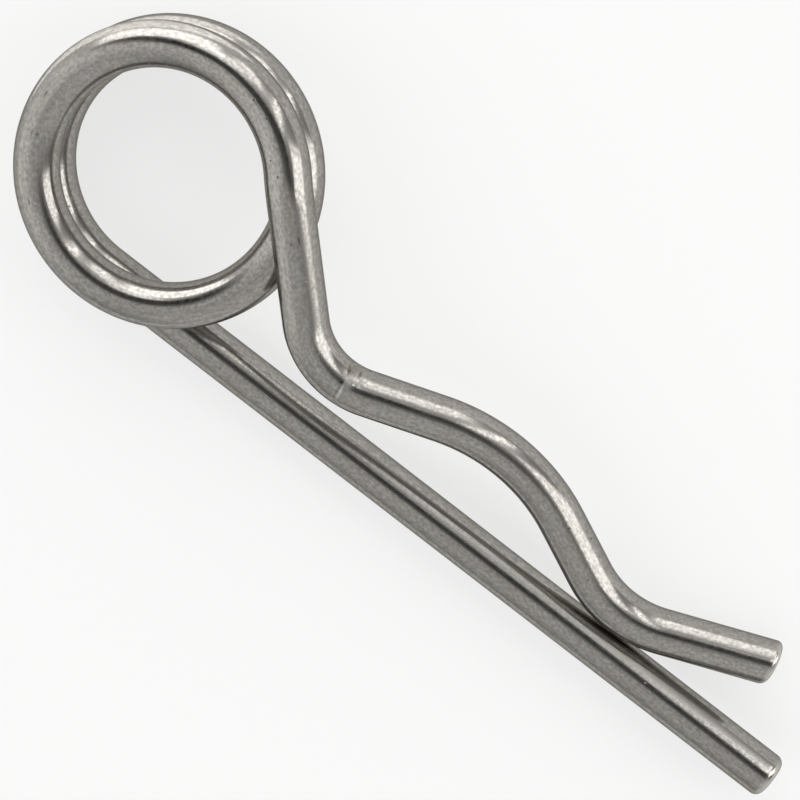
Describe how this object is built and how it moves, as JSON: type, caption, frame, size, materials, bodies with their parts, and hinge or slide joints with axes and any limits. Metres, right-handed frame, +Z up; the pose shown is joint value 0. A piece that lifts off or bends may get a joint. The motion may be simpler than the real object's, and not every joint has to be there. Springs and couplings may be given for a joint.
{
  "type": "double spring pin",
  "caption": "Double-coil spring cotter pin bent from round spring wire: a straight leg, a coiled eye and a waved leg that snaps round a shaft.",
  "frame": {"origin": "on the bench that the pin lies on, below the middle of its overall box", "axes": "+X along the straight leg from the coil towards the tip, +Y across the pin from the straight leg towards the waved leg, +Z up from the bench"},
  "size_m": [0.0856, 0.0268, 0.0113],
  "materials": {
    "spring_wire": "drawn stainless spring wire, bright with fine lines along the wire"
  },
  "bodies": {
    "root": {"spring_wire": "spring_wire"}
  },
  "joints": []
}
